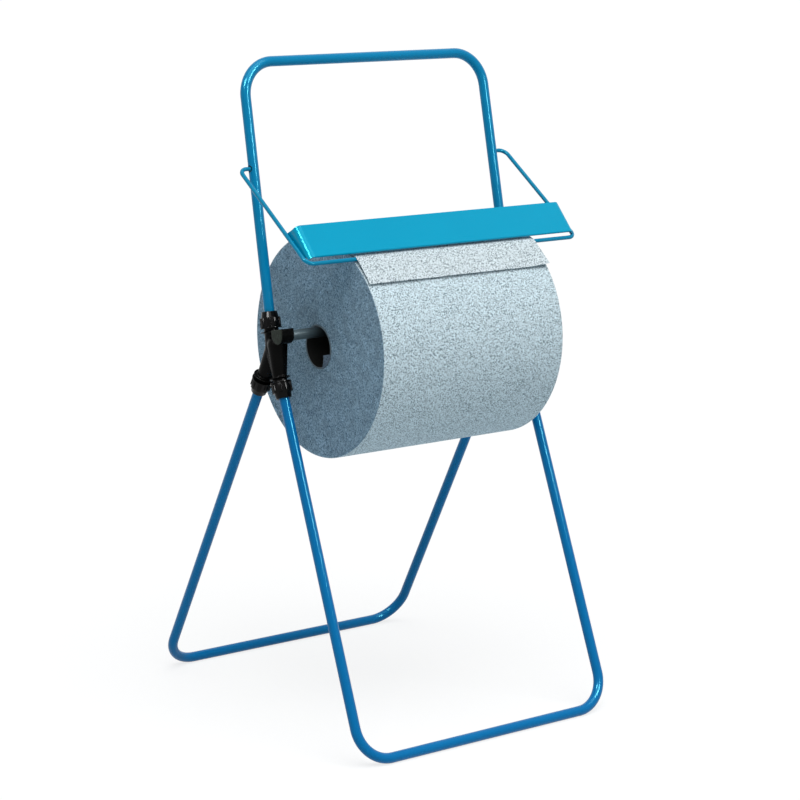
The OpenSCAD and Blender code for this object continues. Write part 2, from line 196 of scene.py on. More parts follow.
# %% Key light and shine cards
def lamp(kind, name, place, target, energy):
    """A light at a place, turned so that it shines at the target."""
    bpy.ops.object.light_add(type=kind, location=place)
    light = bpy.context.object
    light.name = name
    ray = Vector(target) - Vector(place)
    light.rotation_euler = ray.to_track_quat("-Z", "Y").to_euler()
    light.data.energy = energy
    return light


def card(name, place, target, wide, tall, brightness):
    """A bright panel that only shows as a shine, as a white card beside the set does."""
    panel = lamp("AREA", name, place, target, brightness * math.pi * wide * tall)
    panel.data.shape = "RECTANGLE"
    panel.data.size = wide
    panel.data.size_y = tall
    panel.visible_diffuse = False
    panel.visible_camera = False


key = lamp("SUN", "key_sun", (-0.32, -1.70, 4.6), (0, 0, 0.5), 2.9)
key.data.angle = math.radians(56)
card("tall_card", (0.35, -1.95, 2.03), (-0.15, 0.80, 0.63), 0.45, 1.46, 58)
card("edge_card", (-2.15, -0.55, 2.75), (0, 0, 0.7), 0.9, 0.9, 60)

# %% [markdown]
# ## Selecting by place
# Modelling by hand means pointing at faces and edges. A script points with a test: this
# helper goes into edit mode with exactly the faces or edges that pass it.

# %% Helpers for modelling
hair, nearly = 1e-5, 1e-4
smooth_angle = math.radians(40)


def only(obj):
    """Makes one object the active and only selected one."""
    bpy.ops.object.select_all(action="DESELECT")
    obj.select_set(True)
    bpy.context.view_layer.objects.active = obj


def pick(obj, kind, test):
    """Edit mode, with the faces or edges selected whose corner points pass the test."""
    only(obj)
    bpy.ops.object.mode_set(mode="EDIT")
    bpy.ops.mesh.select_mode(type=kind)
    bpy.ops.mesh.select_all(action="DESELECT")
    bpy.ops.object.mode_set(mode="OBJECT")
    points = [v.co for v in obj.data.vertices]
    parts = obj.data.polygons if kind == "FACE" else obj.data.edges
    for part in parts:
        part.select = bool(test([points[i] for i in part.vertices]))
    bpy.ops.object.mode_set(mode="EDIT")


def leave():
    """Back to object mode."""
    bpy.ops.object.mode_set(mode="OBJECT")


def use_modifier(obj, kind, **settings):
    """Adds a modifier, sets it and applies it."""
    only(obj)
    modifier = obj.modifiers.new(kind.lower(), kind)
    for name, value in settings.items():
        setattr(modifier, name, value)
    bpy.ops.object.modifier_apply(modifier=modifier.name)


print("modelling helpers ready")

# %% [markdown]
# ## The wound paper
# The roll is some hundred and fifty metres of paper wound into a ring. It could be a plain
# tube, but a real roll has a soft rim, a side that isn't quite even and ends whose layers
# stand a little in and out. So it starts as a cylinder, its side is cut into bands, the
# rims are bevelled, and each end is inset ring by ring with small steps before both bores
# are bridged.

# %% Wound paper: cylinder and bands
low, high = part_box("paper_roll")
core_low, core_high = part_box("roll_core")
roll_mid = (low + high) / 2
roll_radius = (high.z - low.z) / 2
roll_half = (high.x - low.x) / 2
core_radius = (core_high.z - core_low.z) / 2
core_gap = 0.0002
bore_radius = core_radius + core_gap
bands, band_swell = 20, 0.0005

bpy.ops.mesh.primitive_cylinder_add(vertices=256, radius=roll_radius, depth=2 * roll_half,
                                    end_fill_type="NGON", location=roll_mid,
                                    rotation=(0, math.pi / 2, 0))
paper = bpy.context.object
paper.name = "wound_paper"
bpy.ops.object.transform_apply(location=True, rotation=True, scale=True)
pick(paper, "EDGE", lambda p: abs(p[0].x - p[1].x) > roll_half)
bpy.ops.mesh.subdivide(number_cuts=bands - 1)
leave()
for band in range(1, bands):
    band_x = roll_mid.x - roll_half + 2 * roll_half * band / bands
    pick(paper, "EDGE", lambda p: all(abs(q.x - band_x) < nearly for q in p))
    swell = 1 + band_swell * math.sin(band * 1.9) * math.sin(band * 0.7)
    bpy.ops.transform.resize(value=(1, swell, swell), center_override=roll_mid)
    leave()
print("bands:", len(paper.data.polygons), "faces, radius", round(roll_radius, 4))

# %% Wound paper: rims and ends
rim_bevel = 0.0016
rings, ring_step, end_dip = 26, 0.00022, 0.0003
ring_width = (roll_radius - rim_bevel - bore_radius) / rings
bore_play = 0.0006


def off_axis(point):
    """Distance of a point from the middle line of the roll."""
    return math.hypot(point.y - roll_mid.y, point.z - roll_mid.z)


pick(paper, "EDGE", lambda p: all(abs(abs(q.x - roll_mid.x) - roll_half) < hair for q in p))
bpy.ops.mesh.bevel(offset=rim_bevel, segments=3)
leave()
for end in (-1, 1):
    pick(paper, "FACE", lambda p: len(p) > 100 and (p[0].x - roll_mid.x) * end > 0)
    stood = 0
    for ring in range(rings):
        stand = ring_step * math.sin(ring * 2.3 + end) * math.sin(ring * 0.61) - end_dip
        if ring == rings - 1:
            stand = -end_dip
        bpy.ops.mesh.inset(thickness=ring_width, depth=stand - stood)
        stood = stand
    bpy.ops.mesh.delete(type="FACE")
    leave()
pick(paper, "EDGE", lambda p: all(abs(off_axis(q) - bore_radius) < bore_play for q in p))
bpy.ops.mesh.bridge_edge_loops()
leave()
bpy.ops.object.shade_smooth_by_angle(angle=smooth_angle)
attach(paper, "roll")
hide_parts("paper_roll")
print("wound paper:", len(paper.data.polygons), "faces, bore", round(bore_radius, 4))

# %% [markdown]
# ## The torn core
# The core is wound from paperboard, and at the left end a strip of its outer ply has torn
# loose and stands out of the hole. It could be cut from the core, but that is a CAD solid
# and stays whole, so a small grid is bent round the rim of the hole. It is longest at its
# upper edge and runs out to nothing, the way board tears. It stays inside the thickness of
# the core's wall, so that the axle passes it when the roll turns.

# %% Torn ply at the core's end
ply_inset, ply_thick = 0.0016, 0.0008
ply_radius = core_radius - ply_inset
ply_from, ply_sweep = math.radians(-11), math.radians(59)
ply_out, ply_root, ply_least, ply_fray = 0.0115, 0.0005, 0.0001, 0.0007
bpy.ops.mesh.primitive_grid_add(x_subdivisions=48, y_subdivisions=10, size=1)
ply = bpy.context.object
ply.name = "torn_core_ply"
for vertex in ply.data.vertices:
    share, out = vertex.co.x + 0.5, vertex.co.y + 0.5
    tear = ply_out * (1 - share ** 1.5) + ply_fray * noise.noise((share * 14, 0, 5))
    x = roll_mid.x - roll_half + ply_root - out * (max(tear, ply_least) + ply_root)
    a = ply_from - ply_sweep * share
    y, z = roll_mid.y - ply_radius * math.cos(a), roll_mid.z + ply_radius * math.sin(a)
    vertex.co = (x, y, z)
use_modifier(ply, "SOLIDIFY", thickness=ply_thick, offset=-1)
bpy.ops.object.shade_smooth_by_angle(angle=smooth_angle)
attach(ply, "roll")
print("torn ply:", len(ply.data.polygons), "faces")

# %% [markdown]
# ## The loose sheet
# The last sheet leaves the roll, goes over the cutter's wire and under its blade, and hangs
# free in front. Its run has four stretches: round the roll, straight to the wire, over the
# wire, and a slack droop. A flat grid of the sheet's real size is laid along that run point
# by point, because bent paper doesn't stretch, and Solidify gives it its thickness.

# %% Loose sheet: its run over roll and wire
sheet_wide, sheet_long, sheet_thick = 0.318, 0.340, 0.0004
bail_low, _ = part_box("cutter_bail")
wire_half = 0.003
wire = (bail_low.y + wire_half, bail_low.z + wire_half)
axis = (roll_mid.y, roll_mid.z)
roll_gap, wire_gap = 0.0006, 0.0005
lay_radius = roll_radius + roll_gap
wire_radius = wire_half + wire_gap
reach = math.hypot(wire[0] - axis[0], wire[1] - axis[1])
wire_way = math.atan2(wire[1] - axis[1], wire[0] - axis[0])
leaves_at = wire_way - math.acos((lay_radius - wire_radius) / reach)
straight = math.sqrt(reach ** 2 - (lay_radius - wire_radius) ** 2)
turn, free, droop = math.radians(23), 0.0465, 0.28
wrapped = sheet_long - straight - turn * wire_radius - free


def on_run(s):
    """Point (y, z) and outward direction at length s along the sheet, from its root."""
    if s < wrapped:
        a = leaves_at - (wrapped - s) / lay_radius
        return axis[0] + lay_radius * math.cos(a), axis[1] + lay_radius * math.sin(a), a
    s -= wrapped
    if s < straight:
        y0, z0, a = on_run(wrapped - 1e-9)
        return y0 - s * math.sin(a), z0 + s * math.cos(a), leaves_at
    s -= straight
    if s < turn * wire_radius:
        a = leaves_at + s / wire_radius
        return wire[0] + wire_radius * math.cos(a), wire[1] + wire_radius * math.sin(a), a
    s -= turn * wire_radius
    over = leaves_at + turn
    y0 = wire[0] + (wire_radius - droop) * math.cos(over)
    z0 = wire[1] + (wire_radius - droop) * math.sin(over)
    a = over + s / droop
    return y0 + droop * math.cos(a), z0 + droop * math.sin(a), a


print("sheet: wrapped", round(wrapped, 4), "straight", round(straight, 4), "free", free)

# %% Loose sheet: grid laid along the run
slack_from = wrapped + straight + turn * wire_radius
waves = ((0.55, 47, 0.7), (0.45, 83, 2.1))  # share, pace and start of each
wave_lift, curl_lift, curl_from, curl_over = 0.0006, 0.0040, 0.120, 0.039
fray, fray_pace = 0.0003, 600
hold_back = 0.075
bpy.ops.mesh.primitive_grid_add(x_subdivisions=106, y_subdivisions=200, size=1)
sheet = bpy.context.object
sheet.name = "loose_sheet"
for vertex in sheet.data.vertices:
    across = vertex.co.x * sheet_wide
    along = (vertex.co.y + 0.5) * sheet_long
    y, z, a = on_run(along)
    loose = max(0, (along - slack_from) / free)
    wave = sum(share * math.sin(across * pace + start) for share, pace, start in waves)
    curl = max(0, (across - curl_from) / curl_over) ** 2
    lift = loose ** 1.5 * (wave_lift * wave + curl_lift * curl)
    frayed = 0
    if along > sheet_long - nearly:
        frayed = fray * noise.noise((across * fray_pace, 0, 3))
    y += lift * math.cos(a) - frayed * math.sin(a)
    z += lift * math.sin(a) + frayed * math.cos(a)
    vertex.co = (across, y, z)
use_modifier(sheet, "SOLIDIFY", thickness=sheet_thick, offset=0)
bpy.ops.object.shade_smooth_by_angle(angle=smooth_angle)
hold = on_run(wrapped - hold_back)
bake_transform(sheet)
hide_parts("paper_sheet")
print("loose sheet:", len(sheet.data.polygons), "faces")

# %% [markdown]
# ## Clamp nuts
# Six ribbed nuts squeeze a split ring onto each tube. A nut is modelled once, standing up
# at the origin: a disc is raised into the rim, drawn in, raised into the grip, drawn in
# again and raised into the tapered nose. The pads are groups of side faces pushed out by an
# inset with depth. A bevel rounds all edges, because moulded plastic never has sharp ones
# and the rounding is what catches the light.

# %% One clamp nut
pads, per_pad = 8, 10
rim_r, root_r, nose_r, tip_r, hole_r = 0.0156, 0.0135, 0.0125, 0.0110, 0.0079
rim_h, grip_h, nut_h = 0.0020, 0.0135, 0.0240
taper, hole_play = tip_r / nose_r, 2e-4


def raise_face(height):
    """Extrudes the selected face upwards."""
    bpy.ops.mesh.extrude_region_move(TRANSFORM_OT_translate={"value": (0, 0, height)})


def round_hole(p):
    """Edges that run round the hole at one height."""
    flat = abs(p[0].z - p[1].z) < hair
    return flat and all(abs(math.hypot(q.x, q.y) - hole_r) < hole_play for q in p)


bpy.ops.mesh.primitive_circle_add(vertices=pads * per_pad, radius=rim_r, fill_type="NGON")
nut = bpy.context.object
nut.name = "clamp_nut"
pick(nut, "FACE", lambda p: True)
raise_face(rim_h)
bpy.ops.mesh.inset(thickness=rim_r - root_r, depth=0)
raise_face(grip_h)
bpy.ops.mesh.inset(thickness=root_r - nose_r, depth=0)
raise_face(nut_h - rim_h - grip_h)
bpy.ops.transform.resize(value=(taper, taper, 1), center_override=(0, 0, nut_h))
bpy.ops.mesh.inset(thickness=tip_r - hole_r, depth=0)
bpy.ops.mesh.delete(type="FACE")
leave()
pick(nut, "FACE", lambda p: len(p) > 20)
bpy.ops.mesh.inset(thickness=rim_r - hole_r, depth=0)
bpy.ops.mesh.delete(type="FACE")
leave()
pick(nut, "EDGE", round_hole)
bpy.ops.mesh.bridge_edge_loops()
bpy.ops.mesh.select_all(action="SELECT")
bpy.ops.mesh.normals_make_consistent(inside=False)
leave()
print("nut blank:", len(nut.data.polygons), "faces")

# %% Grip pads and rounded edges
pad_out, pad_draft, pad_share = 0.0015, 0.0003, 0.31
edge_round, edge_angle = 0.00035, math.radians(35)
side_play = 5e-4


def is_pad(p):
    """Side faces of the grip zone that belong to a pad."""
    middle = sum(p, Vector()) / len(p)
    if abs(middle.z - rim_h - grip_h / 2) > nearly:
        return False
    if abs(math.hypot(middle.x, middle.y) - root_r) > side_play:
        return False
    place = (math.degrees(math.atan2(middle.y, middle.x)) % 360) / 360 * pads
    return abs(place - round(place)) < pad_share


pick(nut, "FACE", is_pad)
bpy.ops.mesh.inset(thickness=pad_draft, depth=pad_out)
leave()
use_modifier(nut, "BEVEL", width=edge_round, segments=2,
             limit_method="ANGLE", angle_limit=edge_angle)
bpy.ops.object.shade_smooth_by_angle(angle=smooth_angle)
print("nut:", len(nut.data.polygons), "faces")

# %% [markdown]
# The three tubes of a side meet at one point. Each nut sits on its tube's line, so its
# place is that point, the lean and the splay of the tube, and a distance along it. The six
# copies get a mesh of their own with that place in it.

# %% Six nuts on their tubes
meet = (0.218, -0.026, 0.557)
tube_lines = {
    "handle": (-13.0, -0.635, 0.0285),
    "front": (-23.419, 180 - 0.4306, 0.0495),
    "rear": (27.823, 180 - 0.4150, 0.0550),
}
nuts = []
for side_name, sign in (("left", -1), ("right", 1)):
    for tube, (lean, yaw, along) in tube_lines.items():
        node_name = side_name + "_" + tube + "_nut"
        copy = nut.copy()
        copy.data = nut.data.copy()
        copy.name = side_name + "_" + tube + "_ribbed_nut"
        scene.collection.objects.link(copy)
        place = Matrix.Translation((sign * meet[0], meet[1], meet[2]))
        place = place @ Matrix.Rotation(math.radians(lean), 4, "X")
        place = place @ Matrix.Rotation(math.radians(sign * yaw), 4, "Y")
        place = place @ Matrix.Translation((0, 0, along))
        copy.data.transform(place)
        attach(copy, "stand")
        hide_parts(node_name)
        nuts.append(copy)
        lowest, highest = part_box(node_name)
        centre = sum((v.co for v in copy.data.vertices), Vector()) / len(copy.data.vertices)
        print(copy.name, "centre", [round(c, 4) for c in centre],
              "CAD", [round(c, 4) for c in (lowest + highest) / 2])
bpy.data.objects.remove(nut)

# %% [markdown]
# ## Connectors
# Each connector is one moulding: three sockets that run together in a rounded body, and a
# trough for the axle. The CAD solid has it all, but with hard creases where the cones meet.
# A mould would have fillets there. A copy of the CAD mesh is merged, remeshed into even
# small faces and smoothed, which rounds creases and rims by about a millimetre.

# %% Two filleted connectors
merge_gap, remesh_step, smooth_share, smooth_turns = 0.00001, 0.00075, 0.5, 7
mouldings = []
for side_name in ("left", "right"):
    source = nodes[side_name + "_connector"]
    body = bpy.data.objects.new(side_name + "_moulding", source.data.copy())
    scene.collection.objects.link(body)
    pick(body, "FACE", lambda p: True)
    bpy.ops.mesh.remove_doubles(threshold=merge_gap)
    leave()
    use_modifier(body, "REMESH", mode="VOXEL", voxel_size=remesh_step)
    use_modifier(body, "SMOOTH", factor=smooth_share, iterations=smooth_turns)
    bpy.ops.object.shade_smooth()
    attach(body, "stand")
    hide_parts(side_name + "_connector")
    mouldings.append(body)
    print(body.name, len(body.data.polygons), "faces")

# %% [markdown]
# ## Shared surface effects
# Several finishes use the same effect with other values, so each effect is a shader node
# group: the skin of a powder coat, the print of the wiping paper, and the skin of a black
# moulding. A group only puts out colours and values that change over the surface. The
# shader itself stays in each material.

# %% Helpers for groups
COLOUR, VALUE, VECTOR = "NodeSocketColor", "NodeSocketFloat", "NodeSocketVector"
MIX_A, MIX_B, MIX_RESULT = 6, 7, 2


def new_group(name, inputs, outputs):
    """An empty shader node group with named sockets."""
    group = bpy.data.node_groups.new(name, "ShaderNodeTree")
    for label, kind, value in inputs:
        socket = group.interface.new_socket(label, in_out="INPUT", socket_type=kind)
        if value is not None:
            socket.default_value = value
    for label, kind in outputs:
        group.interface.new_socket(label, in_out="OUTPUT", socket_type=kind)
    given = add_node(group, "NodeGroupInput").outputs
    result = add_node(group, "NodeGroupOutput").inputs
    return group, given, result


def mapped(tree, value, from_low, from_high, to_low, to_high):
    """A value moved from one range to another, held at the ends."""
    node = add_node(tree, "ShaderNodeMapRange", clamp=True)
    for index, item in enumerate((value, from_low, from_high, to_low, to_high)):
        feed(tree, node.inputs[index], item)
    return node.outputs[0]


def grain(tree, vector, scale, detail=2.0, rough=0.5):
    """A noise of the given number of bumps per metre."""
    node = add_node(tree, "ShaderNodeTexNoise", Scale=scale, Detail=detail, Roughness=rough)
    feed(tree, node.inputs["Vector"], vector)
    return node.outputs["Fac"]


def blended(tree, factor, a, b, mode="MIX"):
    """Two colours mixed by a factor."""
    node = add_node(tree, "ShaderNodeMix", data_type="RGBA", blend_type=mode)
    for socket, item in (("Factor", factor), (MIX_A, a), (MIX_B, b)):
        feed(tree, node.inputs[socket], item)
    return node.outputs[MIX_RESULT]


def parts_of(tree, vector):
    """The X, Y and Z of a vector as single values."""
    node = add_node(tree, "ShaderNodeSeparateXYZ")
    feed(tree, node.inputs[0], vector)
    return node.outputs


def from_middle(tree, vector):
    """Distance to the left or right of the stand's middle."""
    return maths(tree, "ABSOLUTE", parts_of(tree, vector)["X"])


print("group helpers ready")

# %% [markdown]
# The tubes, the wire and the blade are powder coated: the paint melts into a glossy skin
# with a faint orange peel, a colour that drifts a little, and scuffs where the feet rub on
# the floor. One colour and a gloss would look like plastic, so noises of several sizes
# move the colour, the roughness and the height, and a height limit brings the scuffs in.

# %% Group: powder coat skin
tree, given, result = new_group(
    "powder_coat_skin",
    [("Vector", VECTOR, None), ("Colour", COLOUR, (0, 0.2, 0.4, 1)),
     ("Deep", COLOUR, (0, 0.1, 0.3, 1)), ("Scuff height", VALUE, -1.0)],
    [("Colour", COLOUR), ("Roughness", VALUE), ("Height", VALUE)])
coat_group = tree
glint, rubbed_through = (0.03, 0.45, 0.62, 1), (0.22, 0.25, 0.27, 1)
here = given["Vector"]
drift = mapped(tree, grain(tree, here, 7), 0.3, 0.7, 0.0, 0.55)
peel = grain(tree, here, 520, 1.0)
fine = grain(tree, here, 2600, 1.0)
# Painted glints: fine pale cyan specks mixed into the coat's colour.
glint_specks = mapped(tree, fine, 0.62, 0.74, 0.0, 0.10)
depth_below = maths(tree, "SUBTRACT", given["Scuff height"], parts_of(tree, here)["Z"])
low_down = mapped(tree, depth_below, 0.0, 0.003, 0.0, 1.0)
streak = mapped(tree, grain(tree, here, 190, 4.0, 0.7), 0.50, 0.60, 0.0, 1.0)
scuff = maths(tree, "MULTIPLY", low_down, streak)
tone = blended(tree, drift, given["Colour"], given["Deep"])
tone = blended(tree, glint_specks, tone, glint)
tone = blended(tree, maths(tree, "MULTIPLY", scuff, 0.8), tone, rubbed_through)
gloss = mapped(tree, grain(tree, here, 60, 3.0), 0.3, 0.7, 0.13, 0.19)
gloss = maths(tree, "ADD", gloss, maths(tree, "MULTIPLY", scuff, 0.3))
relief = maths(tree, "ADD", peel, maths(tree, "MULTIPLY", fine, 0.15))
feed(tree, result["Colour"], tone)
feed(tree, result["Roughness"], gloss)
feed(tree, result["Height"], relief)
print(coat_group.name, len(coat_group.nodes), "nodes")

# %% [markdown]
# Wiping paper is soft and fibrous, with dark specks pressed into it. The specks could be a
# picture, but a cell pattern gives the same thing at any size: each cell has a dot, the
# dots differ in strength, and slow patches make them grow and shrink. Fibres lighten and
# darken the ground, and the specks lie a little lower.

# %% Group: print of the wiping paper
tree, given, result = new_group(
    "wiper_print",
    [("Vector", VECTOR, None), ("Ground", COLOUR, (0.6, 0.7, 0.75, 1)),
     ("Speck", COLOUR, (0.2, 0.3, 0.35, 1)), ("Cover", VALUE, 0.4), ("Fibre", VALUE, 0.3),
     ("Mottle", VALUE, 0.1)],
    [("Colour", COLOUR), ("Height", VALUE)])
paper_group = tree
here = given["Vector"]
patches = mapped(tree, grain(tree, here, 70, 2.0, 0.6), 0.3, 0.7, -0.5, 0.5)
fibre = grain(tree, here, 700, 2.0, 0.6)
cells = add_node(tree, "ShaderNodeTexVoronoi", Scale=520)
feed(tree, cells.inputs["Vector"], here)
chance = add_node(tree, "ShaderNodeSeparateColor")
feed(tree, chance.inputs[0], cells.outputs["Color"])
strength = mapped(tree, chance.outputs[0], 0.1, 0.8, 0.25, 1.0)
size = maths(tree, "ADD", given["Cover"], maths(tree, "MULTIPLY", patches, 0.12))
inner = maths(tree, "SUBTRACT", size, 0.16)
dots = mapped(tree, cells.outputs["Distance"], inner, size, 1.0, 0.0)
marks = maths(tree, "MULTIPLY", dots, strength)
lint = maths(tree, "MULTIPLY", mapped(tree, fibre, 0.25, 0.75, -0.5, 0.5), given["Fibre"])
cloud = maths(tree, "MULTIPLY", patches, given["Mottle"])
shade = maths(tree, "ADD", 1.0, maths(tree, "ADD", lint, cloud))
grey = add_node(tree, "ShaderNodeCombineColor")
for socket in grey.inputs:
    feed(tree, socket, shade)
tone = blended(tree, marks, given["Ground"], given["Speck"])
tone = blended(tree, 1.0, tone, grey.outputs[0], "MULTIPLY")
relief = maths(tree, "SUBTRACT", fibre, maths(tree, "MULTIPLY", marks, 0.5))
feed(tree, result["Colour"], tone)
feed(tree, result["Height"], relief)
print(paper_group.name, len(paper_group.nodes), "nodes")

# %% [markdown]
# Connectors and nuts are moulded in black plastic. The mould leaves pale flow marks, a fine
# sparkle and a seam where its halves met, here in the plane of the tubes. The seam could be
# modelled as a ridge, but it is a tenth of a millimetre high, so it is part of the height.

# %% Group: skin of a black moulding
tree, given, result = new_group(
    "black_moulding_skin",
    [("Vector", VECTOR, None), ("Colour", COLOUR, (0.01, 0.01, 0.01, 1)),
     ("Pale", COLOUR, (0.03, 0.03, 0.03, 1)), ("Gloss", VALUE, 0.3)],
    [("Colour", COLOUR), ("Roughness", VALUE), ("Height", VALUE)])
mould_group = tree
here = given["Vector"]
flow = mapped(tree, grain(tree, here, 45, 3.0), 0.35, 0.7, 0.0, 0.7)
uneven = mapped(tree, grain(tree, here, 110), 0.3, 0.7, -0.05, 0.08)
spark = grain(tree, here, 1500, 1.0)
from_seam = maths(tree, "ABSOLUTE", maths(tree, "SUBTRACT", from_middle(tree, here), meet[0]))
seam = mapped(tree, from_seam, 0.00012, 0.0004, 1.0, 0.0)
relief = maths(tree, "ADD", maths(tree, "MULTIPLY", spark, 0.25), seam)
feed(tree, result["Colour"], blended(tree, flow, given["Colour"], given["Pale"]))
feed(tree, result["Roughness"], maths(tree, "ADD", given["Gloss"], uneven))
feed(tree, result["Height"], relief)
print(mould_group.name, len(mould_group.nodes), "nodes")

# %% [markdown]
# ## Finishes
# A finish is a Principled shader with a group in front of it. Colours were read from the
# photograph's mid tones and the light taken out of them. Numbers that are the same all over
# a surface, such as the tint of the shine, are set on the shader itself.

# %% Finish helper
def finish(name, group=None, values=None, bump=0.1, depth=0.0002, **settings):
    """A material with a Principled shader, a bump, and a group that drives what varies."""
    material = bpy.data.materials.new(name)
    material.use_nodes = True
    tree = material.node_tree
    shader = tree.nodes["Principled BSDF"]
    for label, value in settings.items():
        shader.inputs[label.replace("_", " ")].default_value = value
    vector = add_node(tree, "ShaderNodeTexCoord").outputs["Object"]
    relief = add_node(tree, "ShaderNodeBump", Strength=bump, Distance=depth)
    feed(tree, shader.inputs["Normal"], relief.outputs[0])
    skin = None
    if group:
        skin = add_node(tree, "ShaderNodeGroup", node_tree=group)
        for label, value in values.items():
            skin.inputs[label].default_value = value
        feed(tree, skin.inputs["Vector"], vector)
        feed(tree, shader.inputs["Base Color"], skin.outputs["Colour"])
        feed(tree, relief.inputs["Height"], skin.outputs["Height"])
        if "Roughness" in skin.outputs:
            feed(tree, shader.inputs["Roughness"], skin.outputs["Roughness"])
    return SimpleNamespace(material=material, tree=tree, shader=shader.inputs, vector=vector,
                           skin=skin, height=relief.inputs["Height"])


def from_axis(tree, vector, middle):
    """Distance from a line along X through the given point."""
    shift = add_node(tree, "ShaderNodeMapping", Location=(0, -middle.y, -middle.z))
    flat = add_node(tree, "ShaderNodeVectorMath", operation="MULTIPLY")
    far = add_node(tree, "ShaderNodeVectorMath", operation="LENGTH")
    feed(tree, shift.inputs["Vector"], vector)
    feed(tree, flat.inputs[0], shift.outputs[0])
    feed(tree, flat.inputs[1], (0, 1, 1))
    feed(tree, far.inputs[0], flat.outputs[0])
    return far.outputs["Value"]


print("finish helpers ready")

# %% [markdown]
# The stand has four blues: the handle, the deeper legs, the wire and the bright blade. They
# could share one paint, but the photograph shows them apart, so each has its own colour and
# a deeper one that it drifts into. The difference is partly real and partly painted light:
# the handle and blade are painted lighter where light falls on them, the wire lighter as a
# painted highlight, and the legs deeper as painted shade. Their shine is tinted, because it
# looks bluish there too.

# %% Blue coats
def coat(name, colour, deep, shine, scuff_height=-1.0):
    """A powder coat: its colour, the deeper one it drifts into and the tint of its shine."""
    values = {"Colour": (*colour, 1), "Deep": (*deep, 1), "Scuff height": scuff_height}
    return finish(name, coat_group, values, bump=0.003, depth=0.0001,
                  Specular_IOR_Level=0.26, Specular_Tint=(*shine, 1)).material


tube_shine, blade_shine = (0.22, 0.92, 1.0), (0.10, 0.90, 1.0)
foot_scuff = 0.0035
# Painted light and shade: the handle, wire and blade colours are lighter, the legs' colour
# deeper.
handle_coat = coat("blue_handle_coat_painted_light", (0.001, 0.212, 0.430), (0.001, 0.182, 0.396), tube_shine)
leg_coat = coat("blue_leg_coat_painted_shade", (0.001, 0.146, 0.384), (0.001, 0.125, 0.351), tube_shine,
                foot_scuff)
wire_coat = coat("blue_wire_coat_painted_light", (0.002, 0.225, 0.400), (0.002, 0.194, 0.356), tube_shine)
blade_coat = coat("blade_coat_painted_light", (0.000, 0.322, 0.516), (0.000, 0.296, 0.486),
                  blade_shine)
print("coats:", handle_coat.name, leg_coat.name, wire_coat.name, blade_coat.name)

# %% [markdown]
# Connectors and nuts are the same black, but the nuts are shinier. The closed outer end of
# each cradle is painted grey, a painted reflection of its flat end catching the light, so the
# connector's colour is mixed with grey beyond the axle's end and near its line.

# %% Black mouldings
nut_black = finish(
    "nut_black", mould_group,
    {"Colour": (0.0014, 0.0014, 0.0014, 1), "Pale": (0.0026, 0.0026, 0.0025, 1), "Gloss": 0.16},
    bump=0.20, depth=0.0001, Specular_IOR_Level=0.09).material
look = finish(
    "connector_black", mould_group,
    {"Colour": (0.0018, 0.0018, 0.0017, 1), "Pale": (0.0034, 0.0034, 0.0031, 1), "Gloss": 0.24},
    bump=0.20, depth=0.0002, Specular_IOR_Level=0.04)
connector_black, tree, vector = look.material, look.tree, look.vector
end_reflection_grey = (0.036, 0.043, 0.034, 1)
axle_low, axle_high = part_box("axle")
axle_mid, axle_end = (axle_low + axle_high) / 2, axle_high.x
# Painted reflection: patchy grey on the flat outer end of each cradle.
cap = mapped(tree, from_middle(tree, vector), axle_end + 0.0030, axle_end + 0.0035, 0.0, 1.0)
near = mapped(tree, from_axis(tree, vector, axle_mid), 0.0150, 0.0165, 1.0, 0.0)
rub = mapped(tree, grain(tree, vector, 240, 3.0), 0.3, 0.6, 0.6, 1.0)
end_reflection = maths(tree, "MULTIPLY", maths(tree, "MULTIPLY", cap, near), rub)
greyed = blended(tree, end_reflection, look.skin.outputs["Colour"], end_reflection_grey)
feed(tree, look.shader["Base Color"], greyed)
print("mouldings:", connector_black.name, nut_black.name)

# %% [markdown]
# The paper's face is pale and speckled. The part that hangs free is the same paper, painted
# a little greyer than the roll: painted light, for the different way light falls on it. Two
# finishes could meet in a hard line where the sheet leaves the roll. So the sheet goes over
# from the roll's colours to its own along its length, on its UV map.

# %% Faces of the paper
roll_ground, roll_speck = (0.640, 0.755, 0.805, 1), (0.095, 0.145, 0.175, 1)
sheet_lit_ground, sheet_lit_speck = (0.660, 0.735, 0.765, 1), (0.085, 0.120, 0.140, 1)
matt = {"bump": 0.35, "depth": 0.0003, "Roughness": 0.92, "Specular_IOR_Level": 0.12}
roll_face = finish(
    "wiper_face", paper_group,
    {"Ground": roll_ground, "Speck": roll_speck, "Cover": 0.54, "Fibre": 0.66}, **matt).material
look = finish("loose_sheet_face", paper_group, {"Cover": 0.53, "Fibre": 0.55}, **matt)
sheet_face, tree = look.material, look.tree
unrolled = add_node(tree, "ShaderNodeTexCoord").outputs["UV"]
# Painted light: the free sheet's greyer colours, on the same paper as the roll.
sheet_light_blend = mapped(tree, parts_of(tree, unrolled)["Y"], 0.45, 0.80, 0.0, 1.0)
feed(tree, look.skin.inputs["Ground"], blended(tree, sheet_light_blend, roll_ground, sheet_lit_ground))
feed(tree, look.skin.inputs["Speck"], blended(tree, sheet_light_blend, roll_speck, sheet_lit_speck))
print("paper faces:", roll_face.name, sheet_face.name)

# %% [markdown]
# At the end of the winding light sinks in between the layers, so it is darker and bluer than
# the face, with faint rings. Cut layers show no whole dots of the print: a noise pulls the
# print's coordinates about, which makes its grain ragged. The rings are a noise that only
# knows the distance from the middle line.

